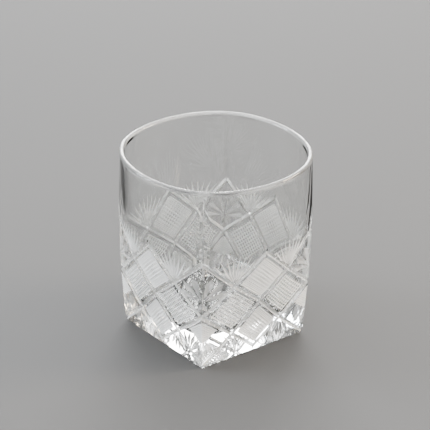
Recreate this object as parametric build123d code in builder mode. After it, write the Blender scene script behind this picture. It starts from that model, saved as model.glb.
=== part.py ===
"""Square-footed whiskey tumbler in cut crystal, in millimetres, +Z up.

The glass stands on z = 0 with its axis on Z and its four flat sides facing X and Y.
It is one piece of glass, given here as the four zones that a glass cutter works on:
the solid foot, the cut wall, the clear wall above it and the fire-polished rim.
"""

import os
from math import asin, cos, pi, sin, sqrt

from build123d import *

# Driving dimensions of the outside
HEIGHT = 87.2
FOOT_CORNER_RADIUS = 39.8  # axis to a vertical corner edge, at the foot
BODY_CORNER_RADIUS = 43.0  # the same, where the corner edges become upright
RIM_CORNER_RADIUS = 42.5
UPRIGHT_HEIGHT = 55.0  # where the corner edges become upright
FOOT_HALF_WIDTH = 28.2  # axis to the middle of a flat side, at the foot
RIM_HALF_WIDTH = 41.2
SIDE_SWELL = 1.15  # 1 is a straight side from foot to rim, more is a fuller one
FOOT_CHAMFER = 0.4

# Driving dimensions of the inside
LIP_THICKNESS = 2.2
LIP_ROUNDING = 0.48  # share of the lip's thickness, nearly a full round
FLOOR_HEIGHT = 13.0
FLOOR_BEND_RADIUS = 7.0
WALL_AT_FLOOR = 3.6
BOWL_CORNER_ARC = 9.0  # radius that the bowl's upright corners are rounded to
RIM_SIDE_ARC = 49.7  # outside the rim, which is nearly round
RIM_CORNER_ARC = 34.0

# Heights where one zone ends and the next begins
FOOT_TOP = FLOOR_HEIGHT + FLOOR_BEND_RADIUS
CUT_TOP = 56.0
LIP_HEIGHT = 2.0
WALL_TOP = HEIGHT - LIP_HEIGHT

QUARTER_TURN = pi / 2
EIGHTH_TURN = pi / 4
ZONE_STEPS = 4
BEND_STEPS = 4


def corner_radius(z):
    """Distance from the axis to a corner edge: it leans out to the upright height, then in a little."""
    if z < UPRIGHT_HEIGHT:
        return BODY_CORNER_RADIUS - (BODY_CORNER_RADIUS - FOOT_CORNER_RADIUS) * (1 - z / UPRIGHT_HEIGHT) ** 2
    share = (z - UPRIGHT_HEIGHT) / (WALL_TOP - UPRIGHT_HEIGHT)
    return BODY_CORNER_RADIUS - (BODY_CORNER_RADIUS - RIM_CORNER_RADIUS) * share**2


def half_width(z):
    """Distance from the axis to the middle of a side: square at the foot, nearly round at the rim."""
    share = 1 - (1 - z / WALL_TOP) ** SIDE_SWELL
    return FOOT_HALF_WIDTH + (RIM_HALF_WIDTH - FOOT_HALF_WIDTH) * share


def side_arc(z):
    """Radius of the arc that a side makes between its two corner edges."""
    corner = corner_radius(z) / sqrt(2)
    rise = half_width(z) - corner
    return (corner**2 + rise**2) / (2 * rise)


def wall_thickness(z):
    """Thickness of a side, which thins evenly from the bowl's floor to the lip."""
    return WALL_AT_FLOOR + (LIP_THICKNESS - WALL_AT_FLOOR) * (z - FLOOR_HEIGHT) / (WALL_TOP - FLOOR_HEIGHT)


def turned(x, y, quarter):
    """A point turned about the axis by a number of quarter turns."""
    angle = quarter * QUARTER_TURN
    return (x * cos(angle) - y * sin(angle), x * sin(angle) + y * cos(angle))


def sharp_section(z):
    """Outside of the glass at a height: four arcs that meet at the corner edges."""
    corner = corner_radius(z) / sqrt(2)
    side = half_width(z)
    with BuildSketch(Plane.XY.offset(z)) as section:
        with BuildLine():
            for quarter in range(4):
                ThreePointArc(
                    turned(corner, -corner, quarter),
                    turned(side, 0, quarter),
                    turned(corner, corner, quarter),
                )
        make_face()
    return section.sketch


def soft_section(z, side, arc, corner_arc):
    """A section of eight tangent arcs at a height: four sides and four rounded corners.

    side is the distance from the axis to the middle of a side, arc the radius of the sides
    and corner_arc the radius of the corners.
    """
    turn = EIGHTH_TURN + asin((side - arc) / (sqrt(2) * (arc - corner_arc)))
    joint_x = side - arc * (1 - cos(turn))
    joint_y = arc * sin(turn)
    corner_middle = joint_y + corner_arc * (sin(EIGHTH_TURN) - sin(turn))
    with BuildSketch(Plane.XY.offset(z)) as section:
        with BuildLine():
            for quarter in range(4):
                ThreePointArc(
                    turned(joint_x, -joint_y, quarter),
                    turned(side, 0, quarter),
                    turned(joint_x, joint_y, quarter),
                )
                ThreePointArc(
                    turned(joint_x, joint_y, quarter),
                    turned(corner_middle, corner_middle, quarter),
                    turned(joint_y, joint_x, quarter),
                )
        make_face()
    return section.sketch


def bowl_section(z, inset=0):
    """Inside of the glass at a height, an even wall in from the outside.

    The inset draws it in further, for the bend down to the floor.
    """
    side = half_width(z) - wall_thickness(z)
    shrink = 1 - inset / side
    arc = side_arc(z) - wall_thickness(z)
    return soft_section(z, side * shrink, arc * shrink, BOWL_CORNER_ARC * shrink)


def bend_section(step):
    """Inside of the glass part way round the bend from the floor up to the wall."""
    bend = QUARTER_TURN * step / BEND_STEPS
    rise = FLOOR_BEND_RADIUS * (1 - cos(bend))
    return bowl_section(FLOOR_HEIGHT + rise, FLOOR_BEND_RADIUS * (1 - sin(bend)))


def levels(bottom, top):
    """Evenly spaced heights for the sections of one zone, both ends included."""
    return [bottom + (top - bottom) * step / ZONE_STEPS for step in range(ZONE_STEPS + 1)]


# Foot: the solid block of glass that carries the weight, with the dished floor in its top
with BuildPart() as foot:
    loft([sharp_section(z) for z in levels(0, FOOT_TOP)])
    chamfer(foot.faces().sort_by(Axis.Z)[0].edges(), FOOT_CHAMFER)
    loft([bend_section(step) for step in range(BEND_STEPS + 1)], mode=Mode.SUBTRACT)

# Cut wall: the four sides and corners that the pattern is cut into
with BuildPart() as cut_wall:
    loft([sharp_section(z) for z in levels(FOOT_TOP, CUT_TOP)])
    loft([bowl_section(z) for z in levels(FOOT_TOP, CUT_TOP)], mode=Mode.SUBTRACT)

# Clear wall: the plain polished band above the pattern
with BuildPart() as clear_wall:
    loft([sharp_section(z) for z in levels(CUT_TOP, WALL_TOP)])
    loft([bowl_section(z) for z in levels(CUT_TOP, WALL_TOP)], mode=Mode.SUBTRACT)

# Rim: an even lip, melted smooth on its top
with BuildPart() as rim:
    with BuildSketch(Plane.XY.offset(WALL_TOP)):
        add(soft_section(WALL_TOP, RIM_HALF_WIDTH, RIM_SIDE_ARC, RIM_CORNER_ARC))
        add(bowl_section(WALL_TOP), mode=Mode.SUBTRACT)
    extrude(amount=LIP_HEIGHT)
    fillet(rim.faces().sort_by(Axis.Z)[-1].edges(), LIP_THICKNESS * LIP_ROUNDING)

zones = {"foot": foot, "cut_wall": cut_wall, "clear_wall": clear_wall, "rim": rim}
os.makedirs("parts", exist_ok=True)
for name, zone in zones.items():
    zone.part.label = name
    export_step(zone.part, f"parts/{name}.step")
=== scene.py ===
"""Looks of a square-footed whiskey tumbler in hand-cut lead crystal.

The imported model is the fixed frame, in metres. The glass is laid out here in millimetres on
its unrolled outside, one eighth of the way round: from a corner edge to the middle of a side.
Every line of the pattern is a stroke of a cutting wheel, so the pattern is a list of V-shaped
wheel cuts. Geometry Nodes mirror and turn that eighth into the whole glass.
"""

import logging
import math
from dataclasses import dataclass, field, replace
from enum import Enum

import bpy
import numpy as np
from mathutils import Matrix, Vector
from mathutils.geometry import delaunay_2d_cdt


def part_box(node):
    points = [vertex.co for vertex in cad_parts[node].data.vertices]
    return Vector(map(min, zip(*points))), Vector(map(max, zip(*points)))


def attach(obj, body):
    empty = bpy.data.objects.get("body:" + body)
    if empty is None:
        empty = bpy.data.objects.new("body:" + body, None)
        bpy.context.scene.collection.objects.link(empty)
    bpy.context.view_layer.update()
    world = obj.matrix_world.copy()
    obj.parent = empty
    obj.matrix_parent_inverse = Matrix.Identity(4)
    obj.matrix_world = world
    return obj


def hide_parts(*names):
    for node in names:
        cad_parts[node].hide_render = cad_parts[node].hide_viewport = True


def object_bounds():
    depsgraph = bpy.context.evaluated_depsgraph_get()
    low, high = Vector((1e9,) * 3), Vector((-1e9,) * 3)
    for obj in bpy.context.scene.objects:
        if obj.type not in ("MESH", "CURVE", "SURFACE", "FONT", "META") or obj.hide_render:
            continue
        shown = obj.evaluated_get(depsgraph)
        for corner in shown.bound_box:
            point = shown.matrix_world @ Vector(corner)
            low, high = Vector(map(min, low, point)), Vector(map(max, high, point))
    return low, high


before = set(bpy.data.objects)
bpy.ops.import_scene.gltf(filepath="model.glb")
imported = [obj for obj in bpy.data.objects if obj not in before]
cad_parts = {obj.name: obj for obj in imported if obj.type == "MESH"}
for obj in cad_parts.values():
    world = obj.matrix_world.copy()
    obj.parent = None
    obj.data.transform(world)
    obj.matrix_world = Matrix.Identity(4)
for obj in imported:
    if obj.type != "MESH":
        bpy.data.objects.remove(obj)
cad_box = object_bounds()

LOG = logging.getLogger("tumbler")
MM = 0.001
EIGHTH = 45.0
CLOSE = 1e-4
FLAT_AREA = 1e-9
Point = tuple[float, float]
Segment = tuple[Point, Point]


class Taper(Enum):
    """How a wheel cut ends along its length."""

    THROUGH = "through"
    RUN_OUT = "run_out"
    LEAF = "leaf"


# ---------------------------------------------------------------- the form of the glass


@dataclass(frozen=True)
class GlassForm:
    """Outside and inside of the glass in millimetres, azimuth in degrees from a corner edge."""

    height: float
    rim_half_width: float
    wall_top: float
    floor_bend_top: float
    rim_corner_radius: float = 42.5
    body_corner_radius: float = 43.0
    foot_corner_radius: float = 39.8
    upright_height: float = 55.0
    foot_half_width: float = 28.2
    side_swell: float = 1.15
    foot_chamfer: float = 0.4
    lip_thickness: float = 2.2
    wall_at_floor: float = 3.6
    floor_bend_radius: float = 7.0
    bowl_corner_arc: float = 9.0
    rim_side_arc: float = 49.7
    rim_corner_arc: float = 34.0

    @property
    def floor_height(self) -> float:
        """Height of the bowl's flat floor."""
        return self.floor_bend_top - self.floor_bend_radius

    def corner_radius(self, z: np.ndarray) -> np.ndarray:
        """Measures how far the corner edges stand from the axis.

        Args:
            z: Heights.

        Returns:
            The distance from the axis to a corner edge at each height.
        """
        body = self.body_corner_radius
        below = 1 - np.clip(z / self.upright_height, 0, 1)
        above = np.clip((z - self.upright_height) / (self.wall_top - self.upright_height), 0, 1)
        return (
            body
            - (body - self.foot_corner_radius) * below**2
            - (body - self.rim_corner_radius) * above**2
        )

    def half_width(self, z: np.ndarray) -> np.ndarray:
        """Distance from the axis to the middle of a side at each height."""
        share = 1 - (1 - np.clip(z / self.wall_top, 0, 1)) ** self.side_swell
        return self.foot_half_width + (self.rim_half_width - self.foot_half_width) * share

    def side_arc(self, z: np.ndarray) -> np.ndarray:
        """Measures the arc that a side makes between its two corner edges.

        Args:
            z: Heights.

        Returns:
            The radius of the arc at each height.
        """
        corner = self.corner_radius(z) / math.sqrt(2)
        rise = self.half_width(z) - corner
        return (corner**2 + rise**2) / (2 * rise)

    def wall_thickness(self, z: np.ndarray) -> np.ndarray:
        """Thickness of a side, which thins evenly from the bowl's floor to the lip."""
        rise = (z - self.floor_height) / (self.wall_top - self.floor_height)
        return self.wall_at_floor + (self.lip_thickness - self.wall_at_floor) * rise

    def arc_reach(self, centre: float, radius: float, turn: np.ndarray) -> np.ndarray:
        """Distance from the axis to an arc, at turns from the line that its centre is on."""
        return centre * np.cos(turn) + np.sqrt(radius**2 - (centre * np.sin(turn)) ** 2)

    def outer_radius(self, azimuth: np.ndarray, z: np.ndarray) -> np.ndarray:
        """Radius of the uncut outside, whose section is four arcs that meet at the corners.

        Args:
            azimuth: Degrees from a corner edge, 0 to 45.
            z: Heights.

        Returns:
            The distance from the axis at each point.
        """
        arc = self.side_arc(z)
        return self.arc_reach(self.half_width(z) - arc, arc, np.radians(EIGHTH - azimuth))

    def soft_radius(
        self, azimuth: np.ndarray, side: float, arc: float, corner_arc: float
    ) -> np.ndarray:
        """Radius of a section of eight tangent arcs, four sides and four rounded corners.

        Args:
            azimuth: Degrees from a corner, 0 to 45.
            side: Distance from the axis to the middle of a side.
            arc: Radius of the sides.
            corner_arc: Radius of the corners.

        Returns:
            The distance from the axis at each azimuth.
        """
        turn = math.pi / 4 + math.asin((side - arc) / (math.sqrt(2) * (arc - corner_arc)))
        joint = math.atan2(arc * math.sin(turn), side - arc * (1 - math.cos(turn)))
        corner_centre = math.sqrt(2) * (arc - corner_arc) * math.sin(turn)
        from_side = np.radians(EIGHTH - azimuth)
        on_side = self.arc_reach(side - arc, arc, from_side)
        from_corner = np.where(from_side > joint, np.radians(azimuth), 0.0)
        on_corner = self.arc_reach(corner_centre, corner_arc, from_corner)
        return np.where(from_side <= joint, on_side, on_corner)

    def bowl_radius(self, azimuth: np.ndarray, z: float, inset: float) -> np.ndarray:
        """Radius of the inside at a height.

        Args:
            azimuth: Degrees from a corner, 0 to 45.
            z: The height.
            inset: How far the section is drawn in, for the bend to the floor.

        Returns:
            The distance from the axis at each azimuth.
        """
        wall = float(self.wall_thickness(np.array(z)))
        side = float(self.half_width(np.array(z))) - wall
        arc = float(self.side_arc(np.array(z))) - wall
        shrink = 1 - inset / side
        return self.soft_radius(azimuth, side * shrink, arc * shrink, self.bowl_corner_arc * shrink)

    def lip_radius(self, azimuth: np.ndarray, inset: float) -> np.ndarray:
        """Radius of the rim, which is round from its outside over to its inside.

        Args:
            azimuth: Degrees from a corner, 0 to 45.
            inset: Distance in from the rim's outside.

        Returns:
            The distance from the axis at each azimuth.
        """
        outer = self.soft_radius(
            azimuth, self.rim_half_width, self.rim_side_arc, self.rim_corner_arc
        )
        return outer - inset


# ---------------------------------------------------------------- the cutting


@dataclass(frozen=True)
class WheelCut:
    """One V-shaped stroke of a cutting wheel on the unrolled outside, in millimetres."""

    start: Point
    end: Point
    half_width: float
    depth: float
    taper: Taper = Taper.THROUGH
    run_out: float = 1.0
    satin: float = 0.0
    belly: float = 0.55

    def length(self) -> float:
        """Length of the stroke."""
        return math.dist(self.start, self.end)

    def share(self, along: np.ndarray) -> np.ndarray:
        """Share of the full depth at distances along the stroke.

        Args:
            along: Distances from the start, in millimetres.

        Returns:
            0 to 1 at each distance, and -1 outside the stroke.
        """
        length = self.length()
        if self.taper is Taper.LEAF:
            profile = np.interp(along / length, [0, self.belly, 1], [0, 1, 0])
        elif self.taper is Taper.RUN_OUT:
            from_end = np.minimum(along, length - along)
            profile = np.clip(from_end / self.run_out, 0, 1)
        else:
            profile = np.ones_like(along)
        return np.where((along < -1e-6) | (along > length + 1e-6), -1.0, profile)

    def depth_at(self, points: np.ndarray) -> np.ndarray:
        """Measures this cut at points of the unrolled outside.

        Args:
            points: The points, as distance round and height.

        Returns:
            The depth at each point, 0 where the cut doesn't reach.
        """
        start = np.array(self.start)
        way = (np.array(self.end) - start) / self.length()
        offset = points - start
        along = offset @ way
        aside = np.abs(offset @ np.array([-way[1], way[0]]))
        slope = self.depth / self.half_width
        return np.maximum(self.depth * self.share(along) - slope * aside, 0)

    def place(self, along: float, aside: float) -> Point:
        """Finds a place beside the stroke.

        Args:
            along: Distance from the start.
            aside: Distance to the left of the stroke.

        Returns:
            The point of the unrolled outside.
        """
        way_u = (self.end[0] - self.start[0]) / self.length()
        way_z = (self.end[1] - self.start[1]) / self.length()
        return (
            self.start[0] + way_u * along - way_z * aside,
            self.start[1] + way_z * along + way_u * aside,
        )

    def creases(self) -> list[Segment]:
        """Finds the edges that the cut leaves in the surface.

        Returns:
            The segments of its bottom and of its two rims.
        """
        length = self.length()
        if self.taper is Taper.LEAF:
            stops = [0.0, self.belly * length, length]
        elif self.taper is Taper.RUN_OUT:
            stops = [0.0, self.run_out, length - self.run_out, length]
        else:
            stops = [0.0, length]
        widths = [float(self.share(np.array([stop]))[0]) * self.half_width for stop in stops]
        rims: list[Segment] = []
        for side in (-1, 1):
            path = [self.place(stop, side * width) for stop, width in zip(stops, widths)]
            rims += list(zip(path, path[1:]))
        middle = [self.place(stop, 0.0) for stop in stops]
        return list(zip(middle, middle[1:])) + rims

    def mirrored(self, line: float) -> "WheelCut":
        """The same stroke on the other side of an upright line."""
        start, end = ((2 * line - u, z) for u, z in (self.start, self.end))
        return replace(self, start=start, end=end)


@dataclass(frozen=True)
class Diamond:
    """Four nodes of the mitre lattice and the places inside them."""

    left: Point
    top: Point
    right: Point
    bottom: Point

    def place(self, p: float, q: float) -> Point:
        """Finds a place inside the diamond.

        Args:
            p: Share of the way from the left to the top, and from the bottom to the right.
            q: Share of the way from the left to the bottom.

        Returns:
            The point of the unrolled outside.
        """
        upper = [a + (b - a) * p for a, b in zip(self.left, self.top)]
        lower = [a + (b - a) * p for a, b in zip(self.bottom, self.right)]
        u, z = (a + (b - a) * q for a, b in zip(upper, lower))
        return (u, z)


@dataclass(frozen=True)
class Spray:
    """A spray of pointed leaves, each one a wheel cut that starts near the same point.

    Angles are degrees from straight up, clockwise. Start is the share of the length where
    the leaves begin, and belly the share of a leaf's own length where it is widest.
    """

    angles: tuple[float, ...]
    length: float
    half_width: float
    depth: float
    start: float
    belly: float
    satin: float


def spread(first: float, last: float, leaves: int) -> tuple[float, ...]:
    """Evenly spaced angles for the leaves of a spray."""
    return tuple(first + (last - first) * index / (leaves - 1) for index in range(leaves))


@dataclass
class CutPattern:
    """The whole cutting of one eighth of the glass, corner edge at 0 to the middle of a side.

    Heights name the nodes of the mitre lattice. Per_degree is the unrolled length of one degree.
    Hatch_near and hatch_far are the plain margins of a hatched field, as shares of its diamond,
    and tick is how far the teeth run past it. Groove is half a groove's width, as a share of
    the spacing. Satin is 0 for polished and 1 for ground.
    """

    per_degree: float = 0.66
    notch_azimuth: float = 21.0
    corner_peak: float = 53.0
    side_peak: float = 52.6
    notch: float = 39.0
    corner_cross: float = 26.5
    side_cross: float = 26.9
    low_notch: float = 13.6
    corner_foot: float = 1.2
    side_foot: float = 2.6
    mitre_half_width: float = 0.95
    mitre_depth: float = 0.8
    mitre_satin: float = 0.5
    hatch_lines: int = 9
    hatch_near: float = 0.115
    hatch_far: float = 0.165
    hatch_groove: float = 0.24
    hatch_depth: float = 0.3
    tick: float = 0.07
    low_hatch_start: float = 0.52
    low_hatch_lines: int = 4
    star_rise: float = 7.6
    foot_leaf_height: float = 15.5
    top_fan: Spray = Spray(spread(-37, 41, 8), 15.8, 0.78, 0.5, 0.1, 0.42, 1.0)
    star: Spray = Spray((20, 49, 77), 11.5, 1.75, 0.6, 0.04, 0.78, 0.35)
    star_tail: Spray = Spray((160,), 5.5, 0.8, 0.4, 0.05, 0.5, 0.35)
    low_fan: Spray = Spray(spread(146, 214, 5), 11.5, 1.0, 0.75, 0.12, 0.65, 0.35)
    foot_leaves: Spray = Spray((150, 172), 10.5, 1.2, 0.8, 0.1, 0.6, 0.35)
    cuts: list[WheelCut] = field(default_factory=list)

    @property
    def side_line(self) -> float:
        """Place of the middle of a side on the unrolled outside."""
        return EIGHTH * self.per_degree

    def at_corner(self, z: float) -> Point:
        """A place on the corner edge."""
        return (0.0, z)

    def at_notch(self, z: float) -> Point:
        """A place on the line of the fans, between the corner edge and the middle of the side."""
        return (self.notch_azimuth * self.per_degree, z)

    def at_side(self, z: float) -> Point:
        """A place on the middle line of the side."""
        return (self.side_line, z)

    def across_side(self, place: Point) -> Point:
        """The same place on the other half of the side."""
        return (2 * self.side_line - place[0], place[1])

    def across_corner(self, place: Point) -> Point:
        """The same place on the other side of the corner edge."""
        return (-place[0], place[1])

    def lattice(self) -> None:
        """The deep mitre cuts, which cross to make the diamonds."""
        notch, low_notch = self.at_notch(self.notch), self.at_notch(self.low_notch)
        strokes = [
            (self.at_corner(self.corner_peak), notch),
            (notch, self.at_side(self.side_cross)),
            (self.at_side(self.side_peak), notch),
            (notch, self.at_corner(self.corner_cross)),
            (self.at_corner(self.corner_cross), low_notch),
            (self.at_side(self.side_cross), low_notch),
            (low_notch, self.at_corner(self.corner_foot)),
            (low_notch, self.at_side(self.side_foot)),
        ]
        size = (self.mitre_half_width, self.mitre_depth)
        for start, end in strokes:
            self.cuts.append(WheelCut(start, end, *size, satin=self.mitre_satin))

    def hatch(self, diamond: Diamond, low: Point, high: Point, lines: int) -> None:
        """Fine grooves both ways across a diamond, with flat studs left between them.

        Args:
            diamond: The diamond that is filled.
            low: Shares of its two sides where the field begins.
            high: Shares of its two sides where the field ends.
            lines: Number of studs along each side of the field.
        """
        side = math.dist(diamond.left, diamond.top)
        step = (high[0] - low[0]) / lines
        half_width = step * side * self.hatch_groove
        rise = (high[1] - low[1]) / lines
        for index in range(lines + 1):
            p = low[0] + step * index
            q = low[1] + rise * index
            teeth = (diamond.place(p, low[1] - self.tick), diamond.place(p, high[1] + self.tick))
            plain = (diamond.place(low[0] - step / 3, q), diamond.place(high[0] + step / 3, q))
            for (start, end), run_out in ((teeth, self.tick * side), (plain, step * side / 3)):
                cut = WheelCut(
                    start, end, half_width, self.hatch_depth, Taper.RUN_OUT, run_out, satin=1.0
                )
                self.cuts.append(cut)

    def leaves(self, origin: Point, spray: Spray) -> None:
        """Cuts the leaves of a spray.

        Args:
            origin: The point that they spread from.
            spray: Their angles, size and satin.
        """
        for angle in np.radians(spray.angles):
            way = (math.sin(angle), math.cos(angle))
            near, far = (
                (origin[0] + way[0] * reach, origin[1] + way[1] * reach)
                for reach in (spray.length * spray.start, spray.length)
            )
            cut = WheelCut(
                near, far, spray.half_width, spray.depth, Taper.LEAF,
                satin=spray.satin, belly=spray.belly,
            )
            self.cuts.append(cut)

    def cut_all(self) -> None:
        """Lays out every cut of the eighth."""
        self.lattice()
        notch, low_notch = self.at_notch(self.notch), self.at_notch(self.low_notch)
        corner_cross, side_cross = self.at_corner(self.corner_cross), self.at_side(self.side_cross)
        side_diamond = Diamond(
            notch, self.at_side(self.side_peak), self.across_side(notch), side_cross
        )
        middle_diamond = Diamond(corner_cross, notch, side_cross, low_notch)
        low_diamond = Diamond(
            low_notch, side_cross, self.across_side(low_notch), self.at_side(self.side_foot)
        )
        low = (self.hatch_near, self.hatch_far)
        high = (1 - self.hatch_near, 1 - self.hatch_far)
        for diamond in (side_diamond, middle_diamond, low_diamond):
            self.hatch(diamond, low, high, self.hatch_lines)
        corner_diamond = Diamond(
            self.across_corner(low_notch), corner_cross, low_notch, self.at_corner(self.corner_foot)
        )
        begin = self.low_hatch_start
        self.hatch(corner_diamond, (begin, low[1]), (high[0], begin), self.low_hatch_lines)
        star_centre = self.at_corner(self.corner_cross + self.star_rise)
        self.leaves(notch, self.top_fan)
        self.leaves(star_centre, self.star)
        self.leaves(star_centre, self.star_tail)
        self.leaves(low_notch, self.low_fan)
        self.leaves(self.at_corner(self.foot_leaf_height), self.foot_leaves)


# ---------------------------------------------------------------- the mesh of one eighth


@dataclass
class EighthMesh:
    """The closed skin of one eighth of the glass: outside, lip, bowl, floor and underside.

    The plain surface carries points every sample_rise up and on each of its columns, unless a
    crease is nearer than clear_gap. Points nearer than snap to a border are put on it, so that
    the eighths meet without a gap.
    """

    form: GlassForm
    pattern: CutPattern
    columns: int = 24
    sample_rise: float = 3.0
    clear_gap: float = 0.5
    snap: float = 0.002
    lip_steps: int = 12
    # Painted highlight: the rim is clear polished glass, and this share of satin makes it partly
    # diffuse white so that it looks bright.
    lip_painted_highlight: float = 0.28
    bowl_steps: int = 26
    bend_steps: int = 10
    points: list[tuple[float, float, float]] = field(default_factory=list)
    faces: list[tuple[int, ...]] = field(default_factory=list)
    satin: list[float] = field(default_factory=list)

    def azimuths(self) -> np.ndarray:
        """Azimuths of the upright lines that the rim, bowl and clear wall share."""
        return np.linspace(0, EIGHTH, self.columns + 1)

    def clipped(self, segment: Segment, low: Point, high: Point) -> Segment | None:
        """Clips a segment to a rectangle.

        Args:
            segment: The segment.
            low: Lowest corner of the rectangle.
            high: Highest corner of the rectangle.

        Returns:
            The stretch inside the rectangle, or None.
        """
        (u0, z0), (u1, z1) = segment
        enter, leave = 0.0, 1.0
        for origin, change, floor, ceiling in (
            (u0, u1 - u0, low[0], high[0]),
            (z0, z1 - z0, low[1], high[1]),
        ):
            if abs(change) < 1e-9:
                if not floor - 1e-9 <= origin <= ceiling + 1e-9:
                    return None
                continue
            first, last = sorted(((floor - origin) / change, (ceiling - origin) / change))
            enter, leave = max(enter, first), min(leave, last)
        if leave - enter < 1e-6:
            return None
        return (
            (u0 + (u1 - u0) * enter, z0 + (z1 - z0) * enter),
            (u0 + (u1 - u0) * leave, z0 + (z1 - z0) * leave),
        )

    def all_cuts(self) -> list[WheelCut]:
        """Gathers the cuts that can reach the eighth.

        Returns:
            Its own cuts and those of its two mirrored neighbours.
        """
        own = self.pattern.cuts
        line = self.pattern.side_line
        return own + [cut.mirrored(0.0) for cut in own] + [cut.mirrored(line) for cut in own]

    def crease_segments(self) -> list[Segment]:
        """Gathers the crease lines of the outside.

        Returns:
            The creases of every cut and the borders, clipped to the eighth.
        """
        low = (0.0, self.form.foot_chamfer)
        high = (self.pattern.side_line, self.form.wall_top)
        segments: list[Segment] = []
        for cut in self.all_cuts():
            segments += cut.creases()
        corners = [low, (high[0], low[1]), high, (low[0], high[1])]
        segments += list(zip(corners, corners[1:] + corners[:1]))
        kept = [self.clipped(segment, low, high) for segment in segments]
        return [segment for segment in kept if segment]

    def sample_points(self, segments: list[Segment]) -> list[Point]:
        """Lays out the points that carry the curve of the plain surface.

        Args:
            segments: The crease lines, which the points keep clear of.

        Returns:
            The points, as distance round and height.
        """
        starts = np.array([start for start, _ in segments])
        ways = np.array([end for _, end in segments]) - starts
        squared = np.maximum((ways**2).sum(1), 1e-12)
        low, high = self.form.foot_chamfer, self.form.wall_top
        rows = max(2, round((high - low) / self.sample_rise))
        kept: list[Point] = []
        for z in np.linspace(low, high, rows + 1):
            for azimuth in self.azimuths():
                point = np.array([azimuth * self.pattern.per_degree, z])
                share = np.clip(((point - starts) * ways).sum(1) / squared, 0, 1)
                gaps = np.linalg.norm(starts + ways * share[:, None] - point, axis=1)
                on_top = abs(z - high) < 1e-6
                on_edge = azimuth in (0.0, EIGHTH)
                if on_top or gaps.min() > self.clear_gap or (on_edge and gaps.min() < 1e-6):
                    kept.append((float(point[0]), float(point[1])))
        return kept

    def outside(self) -> tuple[np.ndarray, list[tuple[int, ...]]]:
        """Triangulates the unrolled outside along every crease.

        Returns:
            The points as distance round and height, and the triangles, without the flat
            ones that lie along a border line.
        """
        segments = self.crease_segments()
        singles = self.sample_points(segments)
        verts = [Vector(point) for segment in segments for point in segment]
        edges = [(index, index + 1) for index in range(0, len(verts), 2)]
        verts += [Vector(point) for point in singles]
        coords, _, faces, _, _, _ = delaunay_2d_cdt(verts, edges, [], 0, CLOSE)
        flat = np.array([tuple(co) for co in coords])
        for line in (0.0, self.pattern.side_line):
            flat[np.abs(flat[:, 0] - line) < self.snap, 0] = line
        first, second, third = flat[np.array(faces)].transpose(1, 0, 2)
        a, b = second - first, third - first
        doubled_area = np.abs(a[:, 0] * b[:, 1] - a[:, 1] * b[:, 0])
        kept = [tuple(face) for face, size in zip(faces, doubled_area) if size > FLAT_AREA]
        return flat, kept

    def cutting(self, places: np.ndarray) -> tuple[np.ndarray, np.ndarray]:
        """Finds the cutting at points of the unrolled outside.

        Args:
            places: The points, as distance round and height.

        Returns:
            The depth at each point, and the satin of the deepest cut there.
        """
        depth = np.zeros(len(places))
        satin = np.zeros(len(places))
        for cut in self.all_cuts():
            here = cut.depth_at(places)
            satin = np.where(here > depth + CLOSE, cut.satin, satin)
            depth = np.maximum(depth, here)
        return depth, satin

    def add_outside(self) -> tuple[list[int], list[int]]:
        """Adds the cut outside.

        Returns:
            The indices of its lowest and highest rows, from the corner edge on.
        """
        flat, triangles = self.outside()
        depth, _ = self.cutting(flat)
        _, satin = self.cutting(flat[np.array(triangles)].mean(1))
        low, high = self.form.foot_chamfer, self.form.wall_top
        depth = np.where(flat[:, 1] < low + CLOSE, 0, depth)
        azimuth = flat[:, 0] / self.pattern.per_degree
        radius = self.form.outer_radius(azimuth, flat[:, 1]) - depth
        angle = np.radians(azimuth)
        base = len(self.points)
        xyz = np.stack([radius * np.cos(angle), radius * np.sin(angle), flat[:, 1]], 1)
        self.points += [tuple(point) for point in xyz]
        self.faces += [tuple(base + index for index in triangle) for triangle in triangles]
        self.satin += [float(value) for value in satin]
        rows = []
        for level in (low, high):
            found = np.flatnonzero(np.abs(flat[:, 1] - level) < CLOSE)
            rows.append([base + int(i) for i in found[np.argsort(flat[found, 0])]])
        return rows[0], rows[1]

    def add_row(self, radii: np.ndarray, azimuths: np.ndarray, z: float) -> list[int]:
        """Adds one row of points.

        Args:
            radii: Distance of each point from the axis.
            azimuths: Degrees from a corner edge.
            z: Height of the row.

        Returns:
            The indices of the points.
        """
        base = len(self.points)
        for radius, azimuth in zip(radii, np.radians(azimuths)):
            self.points.append((radius * math.cos(azimuth), radius * math.sin(azimuth), z))
        return list(range(base, len(self.points)))

    def bridge(self, lower: list[int], upper: list[int], satin: float = 0.0) -> None:
        """Joins two rows with quads that face away from the glass.

        Args:
            lower: Indices of the row that comes first along the skin.
            upper: Indices of the next row.
            satin: How satin the faces are.
        """
        for index in range(len(lower) - 1):
            self.faces.append((lower[index], lower[index + 1], upper[index + 1], upper[index]))
            self.satin.append(satin)

    def close_centre(self, row: list[int], z: float, upward: bool) -> None:
        """Closes a row with triangles to the axis.

        Args:
            row: Indices of the row.
            z: Height of the point on the axis.
            upward: Whether the triangles face up.
        """
        centre = len(self.points)
        self.points.append((0.0, 0.0, z))
        for first, second in zip(row, row[1:]):
            self.faces.append((first, second, centre) if upward else (second, first, centre))
            self.satin.append(0.0)

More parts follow.
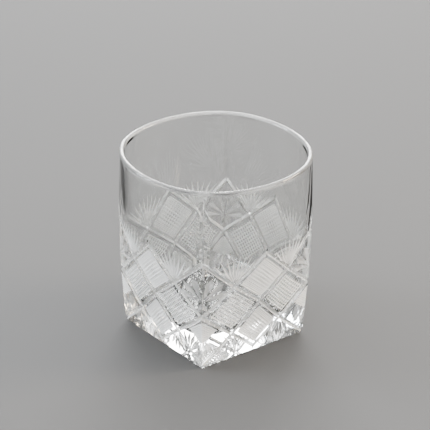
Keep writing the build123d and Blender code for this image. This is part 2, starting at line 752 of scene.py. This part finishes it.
    def build(self) -> None:
        """Makes the outside, then the lip, bowl, floor and underside."""
        form = self.form
        lowest, row = self.add_outside()
        azimuths = self.azimuths()
        round_radius = form.lip_thickness / 2
        crown = form.height - round_radius
        for step in range(self.lip_steps + 1):
            turn = math.pi * step / self.lip_steps
            radii = form.lip_radius(azimuths, round_radius * (1 - math.cos(turn)))
            upper = self.add_row(radii, azimuths, crown + round_radius * math.sin(turn))
            # The lip faces get the painted highlight share of satin, which lightens the clear rim.
            self.bridge(row, upper, self.lip_painted_highlight)
            row = upper
        heights = np.linspace(form.wall_top, form.floor_bend_top, self.bowl_steps + 1)
        levels = [(z, 0.0) for z in heights]
        for step in range(1, self.bend_steps + 1):
            bend = math.pi / 2 * (1 - step / self.bend_steps)
            rise = form.floor_bend_radius * (1 - math.cos(bend))
            levels.append((form.floor_height + rise, form.floor_bend_radius * (1 - math.sin(bend))))
        for z, inset in levels:
            upper = self.add_row(form.bowl_radius(azimuths, z, inset), azimuths, z)
            self.bridge(row, upper)
            row = upper
        self.close_centre(row, form.floor_height, upward=True)
        x, y, _ = np.array([self.points[index] for index in lowest]).T
        inner_radii = np.hypot(x, y) - form.foot_chamfer
        inner = self.add_row(inner_radii, np.degrees(np.arctan2(y, x)), 0.0)
        self.bridge(inner, lowest)
        self.close_centre(inner, 0.0, upward=False)

    def to_object(self, name: str) -> bpy.types.Object:
        """Makes the eighth a Blender object, in metres, with its satin as a face attribute.

        Args:
            name: The object's name.

        Returns:
            The object, linked to the scene.
        """
        mesh = bpy.data.meshes.new(name)
        mesh.from_pydata([tuple(c * MM for c in point) for point in self.points], [], self.faces)
        layer = mesh.attributes.new("satin", "FLOAT", "FACE")
        layer.data.foreach_set("value", self.satin)
        piece = bpy.data.objects.new(name, mesh)
        bpy.context.scene.collection.objects.link(piece)
        return piece


# ---------------------------------------------------------------- Geometry Nodes


@dataclass
class TurnedCopies:
    """A Geometry Nodes tree that mirrors an eighth and turns the pair about the axis."""

    turns: int = 4
    start_angle: float = math.radians(45)
    weld: float = 0.00001

    def tree(self) -> bpy.types.NodeTree:
        """Builds the tree with its named inputs.

        Returns:
            The node tree, which ends in Realize Instances, a weld and Set Material.
        """
        tree = bpy.data.node_groups.new("turned_copies", "GeometryNodeTree")
        sockets = tree.interface
        sockets.new_socket("Geometry", in_out="INPUT", socket_type="NodeSocketGeometry")
        for name, kind in (
            ("Turns", "NodeSocketInt"),
            ("Start Angle", "NodeSocketFloat"),
            ("Weld Distance", "NodeSocketFloat"),
            ("Material", "NodeSocketMaterial"),
        ):
            sockets.new_socket(name, in_out="INPUT", socket_type=kind)
        sockets.new_socket("Geometry", in_out="OUTPUT", socket_type="NodeSocketGeometry")
        add = tree.nodes.new
        link = tree.links.new
        given = add("NodeGroupInput")
        result = add("NodeGroupOutput")
        mirror = add("GeometryNodeTransform")
        mirror.inputs["Scale"].default_value = (1, -1, 1)
        flip = add("GeometryNodeFlipFaces")
        pair = add("GeometryNodeJoinGeometry")
        points = add("GeometryNodePoints")
        index = add("GeometryNodeInputIndex")
        step = self.math(tree, "DIVIDE")
        step.inputs[0].default_value = math.tau
        angle = self.math(tree, "MULTIPLY_ADD")
        euler = add("ShaderNodeCombineXYZ")
        rotation = add("FunctionNodeEulerToRotation")
        copies = add("GeometryNodeInstanceOnPoints")
        realize = add("GeometryNodeRealizeInstances")
        weld = add("GeometryNodeMergeByDistance")
        dress = add("GeometryNodeSetMaterial")
        link(given.outputs["Geometry"], mirror.inputs["Geometry"])
        link(mirror.outputs["Geometry"], flip.inputs["Mesh"])
        link(flip.outputs["Mesh"], pair.inputs["Geometry"])
        link(given.outputs["Geometry"], pair.inputs["Geometry"])
        link(given.outputs["Turns"], points.inputs["Count"])
        link(given.outputs["Turns"], step.inputs[1])
        link(index.outputs["Index"], angle.inputs[0])
        link(step.outputs["Value"], angle.inputs[1])
        link(given.outputs["Start Angle"], angle.inputs[2])
        link(angle.outputs["Value"], euler.inputs["Z"])
        link(euler.outputs["Vector"], rotation.inputs["Euler"])
        link(points.outputs["Points"], copies.inputs["Points"])
        link(pair.outputs["Geometry"], copies.inputs["Instance"])
        link(rotation.outputs["Rotation"], copies.inputs["Rotation"])
        link(copies.outputs["Instances"], realize.inputs["Geometry"])
        link(realize.outputs["Geometry"], weld.inputs["Geometry"])
        link(given.outputs["Weld Distance"], weld.inputs["Distance"])
        link(weld.outputs["Geometry"], dress.inputs["Geometry"])
        link(given.outputs["Material"], dress.inputs["Material"])
        link(dress.outputs["Geometry"], result.inputs["Geometry"])
        return tree

    def math(self, tree: bpy.types.NodeTree, operation: str) -> bpy.types.Node:
        """Adds a math node.

        Args:
            tree: The tree that gets the node.
            operation: What the node does.

        Returns:
            The node.
        """
        node = tree.nodes.new("ShaderNodeMath")
        node.operation = operation
        return node

    def apply(
        self, piece: bpy.types.Object, material: bpy.types.Material, name: str
    ) -> bpy.types.Object:
        """Turns a piece into its finished copies.

        Args:
            piece: The eighth, which is removed.
            material: The finish that the copies get.
            name: The name of the finished piece.

        Returns:
            A new object with a plain mesh.
        """
        tree = self.tree()
        modifier = piece.modifiers.new("copies", "NODES")
        modifier.node_group = tree
        values = {
            "Turns": self.turns,
            "Start Angle": self.start_angle,
            "Weld Distance": self.weld,
            "Material": material,
        }
        for item in tree.interface.items_tree:
            if item.in_out == "INPUT" and item.name in values:
                modifier[item.identifier] = values[item.name]
        depsgraph = bpy.context.evaluated_depsgraph_get()
        mesh = bpy.data.meshes.new_from_object(piece.evaluated_get(depsgraph))
        mesh.name = name
        bpy.data.objects.remove(piece)
        finished = bpy.data.objects.new(name, mesh)
        bpy.context.scene.collection.objects.link(finished)
        return finished


# ---------------------------------------------------------------- finishes


@dataclass(frozen=True)
class CrystalFinish:
    """Clear lead crystal: polished skin with a hand-made waviness, and fine satin in the cuts.

    The face attribute "satin" is 0 on the polished skin and 1 in the hatched grooves,
    where the ground glass is fine satin and scatters a share of the light white. On the
    lip its share is a painted highlight: the clear rim is made partly diffuse white to look bright.
    """

    ior: float = 1.545
    polish: float = 0.0
    satin: float = 0.5
    ground_clearness: float = 0.15
    grain_scale: float = 900.0
    grain_share: float = 0.35
    wave_scale: float = 55.0
    wave_height: float = 0.000006
    colour: tuple[float, float, float, float] = (0.985, 0.99, 0.985, 1.0)

    def material(self) -> bpy.types.Material:
        """Builds the node material.

        Returns:
            The material, with satin, grain and waviness wired to one Principled shader.
        """
        material = bpy.data.materials.new("lead_crystal")
        material.use_nodes = True
        nodes = material.node_tree.nodes
        link = material.node_tree.links.new
        shader = nodes["Principled BSDF"]
        shader.inputs["Base Color"].default_value = self.colour
        shader.inputs["IOR"].default_value = self.ior
        place = nodes.new("ShaderNodeTexCoord")
        grain = nodes.new("ShaderNodeTexNoise")
        grain.inputs["Scale"].default_value = self.grain_scale
        uneven = nodes.new("ShaderNodeMapRange")
        uneven.inputs["To Min"].default_value = 1.0 - self.grain_share
        uneven.inputs["To Max"].default_value = 1.0 + self.grain_share
        attribute = nodes.new("ShaderNodeAttribute")
        attribute.attribute_name = "satin"
        clear = nodes.new("ShaderNodeMapRange")
        clear.inputs["To Min"].default_value = 1.0
        clear.inputs["To Max"].default_value = self.ground_clearness
        frost = nodes.new("ShaderNodeMath")
        frost.operation = "MULTIPLY"
        roughness = nodes.new("ShaderNodeMapRange")
        roughness.inputs["To Min"].default_value = self.polish
        roughness.inputs["To Max"].default_value = self.satin
        wave = nodes.new("ShaderNodeTexNoise")
        wave.inputs["Scale"].default_value = self.wave_scale
        wave.inputs["Detail"].default_value = 1.0
        bump = nodes.new("ShaderNodeBump")
        bump.inputs["Distance"].default_value = self.wave_height
        link(place.outputs["Object"], grain.inputs["Vector"])
        link(grain.outputs["Fac"], uneven.inputs["Value"])
        link(attribute.outputs["Fac"], frost.inputs[0])
        link(uneven.outputs["Result"], frost.inputs[1])
        link(frost.outputs["Value"], roughness.inputs["Value"])
        link(roughness.outputs["Result"], shader.inputs["Roughness"])
        link(place.outputs["Object"], wave.inputs["Vector"])
        link(wave.outputs["Fac"], bump.inputs["Height"])
        link(bump.outputs["Normal"], shader.inputs["Normal"])
        link(attribute.outputs["Fac"], clear.inputs["Value"])
        link(clear.outputs["Result"], shader.inputs["Transmission Weight"])
        return material


# ---------------------------------------------------------------- the glass and its studio


@dataclass
class Tumbler:
    """The whole glass: form, cutting and finish."""

    form: GlassForm
    sharp_angle: float = 7.0
    nodes: tuple[str, ...] = ("foot", "cut_wall", "clear_wall", "rim")

    def build(self) -> bpy.types.Object:
        """Builds the glass as one closed skin that rides on the root body.

        Returns:
            The finished piece.
        """
        pattern = CutPattern()
        pattern.cut_all()
        eighth = EighthMesh(self.form, pattern)
        eighth.build()
        material = CrystalFinish().material()
        glass = TurnedCopies().apply(eighth.to_object("eighth"), material, "crystal_glass")
        mesh = glass.data
        mesh.shade_smooth()
        mesh.set_sharp_from_angle(angle=math.radians(self.sharp_angle))
        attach(glass, "root")
        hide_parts(*self.nodes)
        LOG.info("crystal_glass: %d vertices, %d faces", len(mesh.vertices), len(mesh.polygons))
        return glass


@dataclass(frozen=True)
class Softbox:
    """A square soft light, placed by its turn from the camera and its height angle."""

    name: str
    turn: float
    elevation: float
    distance: float
    size: float
    power: float
    colour: tuple[float, float, float] = (1.0, 1.0, 1.0)


@dataclass
class Studio:
    """Pale floor, soft lights and the camera.

    The surroundings are horizon_light bright up to overhead_start, as the sine of the height
    angle, and rise from there to overhead_light straight above.
    """

    floor_half: float = 3.0
    floor_gap: float = 0.0002
    floor_colour: float = 0.105
    floor_gloss: float = 0.8
    target: Vector = field(default_factory=lambda: Vector((0, 0, 0.045)))
    camera_distance: float = 1.212
    camera_azimuth: float = 52.0
    camera_elevation: float = 27.13
    camera_roll: float = 0.78
    aim_height: float = 0.0556
    field_lens: float = 228.6
    horizon_light: float = 0.08
    overhead_light: float = 2.7
    overhead_start: float = 0.1
    lights: tuple[Softbox, ...] = (
        Softbox("back", 180, 16, 1.2, 0.8, 14),
        Softbox("left", -95, 20, 1.0, 0.4, 5, (0.9, 0.95, 1.0)),
        Softbox("right", 95, 20, 1.0, 0.4, 7, (1.0, 0.84, 0.64)),
    )

    def direction(self, azimuth: float, elevation: float) -> Vector:
        """Finds a way out from the glass.

        Args:
            azimuth: Degrees round from the front.
            elevation: Degrees up from level.

        Returns:
            The way, one metre long.
        """
        turn, rise = math.radians(azimuth), math.radians(elevation)
        level = math.cos(rise)
        return Vector((math.sin(turn) * level, -math.cos(turn) * level, math.sin(rise)))

    def floor(self) -> None:
        """A plain pale floor just under the glass."""
        mesh = bpy.data.meshes.new("floor")
        half = self.floor_half
        corners = [(-half, -half), (half, -half), (half, half), (-half, half)]
        mesh.from_pydata([(x, y, -self.floor_gap) for x, y in corners], [], [(0, 1, 2, 3)])
        floor = bpy.data.objects.new("floor", mesh)
        bpy.context.scene.collection.objects.link(floor)
        material = bpy.data.materials.new("pale_floor")
        material.use_nodes = True
        shader = material.node_tree.nodes["Principled BSDF"]
        shader.inputs["Base Color"].default_value = (*[self.floor_colour] * 3, 1)
        shader.inputs["Roughness"].default_value = self.floor_gloss
        mesh.materials.append(material)

    def light(self, box: Softbox) -> None:
        """Hangs one softbox, turned to the glass.

        Args:
            box: The softbox.
        """
        lamp = bpy.data.lights.new(box.name, "AREA")
        lamp.size = box.size
        lamp.energy = box.power
        lamp.color = box.colour
        holder = bpy.data.objects.new(box.name, lamp)
        way = self.direction(self.camera_azimuth + box.turn, box.elevation)
        holder.location = self.target + way * box.distance
        holder.rotation_euler = (-way).to_track_quat("-Z", "Y").to_euler()
        bpy.context.scene.collection.objects.link(holder)

    def world(self) -> None:
        """Dim surroundings that brighten softly overhead."""
        world = bpy.data.worlds.new("studio")
        world.use_nodes = True
        nodes = world.node_tree.nodes
        link = world.node_tree.links.new
        place = nodes.new("ShaderNodeTexCoord")
        split = nodes.new("ShaderNodeSeparateXYZ")
        rise = nodes.new("ShaderNodeMapRange")
        rise.interpolation_type = "SMOOTHSTEP"
        rise.inputs["From Min"].default_value = self.overhead_start
        rise.inputs["To Min"].default_value = self.horizon_light
        rise.inputs["To Max"].default_value = self.overhead_light
        background = nodes["Background"]
        background.inputs["Color"].default_value = (1, 1, 1, 1)
        link(place.outputs["Generated"], split.inputs["Vector"])
        link(split.outputs["Z"], rise.inputs["Value"])
        link(rise.outputs["Result"], background.inputs["Strength"])
        bpy.context.scene.world = world

    def camera(self) -> None:
        """A long lens at the height of a seated viewer, looking down at a corner."""
        back = self.direction(self.camera_azimuth, self.camera_elevation)
        place = self.target + back * self.camera_distance
        lens = bpy.data.cameras.new("camera")
        lens.lens = self.field_lens
        lens.clip_start = 0.01
        holder = bpy.data.objects.new("camera", lens)
        aim = Vector((0, 0, self.aim_height)) - place
        turn = aim.to_track_quat("-Z", "Y").to_matrix().to_4x4()
        roll = Matrix.Rotation(math.radians(self.camera_roll), 4, "Z")
        holder.matrix_world = Matrix.Translation(place) @ turn @ roll
        bpy.context.scene.collection.objects.link(holder)
        bpy.context.scene.camera = holder

    def build(self) -> None:
        """Sets the floor, surroundings, lights, camera and film."""
        self.floor()
        self.world()
        for box in self.lights:
            self.light(box)
        self.camera()
        film = bpy.context.scene.view_settings
        film.view_transform = "AgX"
        film.look = "AgX - High Contrast"


def glass_form() -> GlassForm:
    """Reads the form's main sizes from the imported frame.

    Returns:
        The form, in millimetres.
    """
    low, high = cad_box
    return GlassForm(
        height=(high[2] - low[2]) / MM,
        rim_half_width=(high[0] - low[0]) / 2 / MM,
        wall_top=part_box("rim")[0].z / MM,
        floor_bend_top=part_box("foot")[1].z / MM,
    )


def main() -> None:
    logging.basicConfig(level=logging.INFO)
    Tumbler(glass_form()).build()
    Studio().build()


if __name__ == "__main__":
    main()
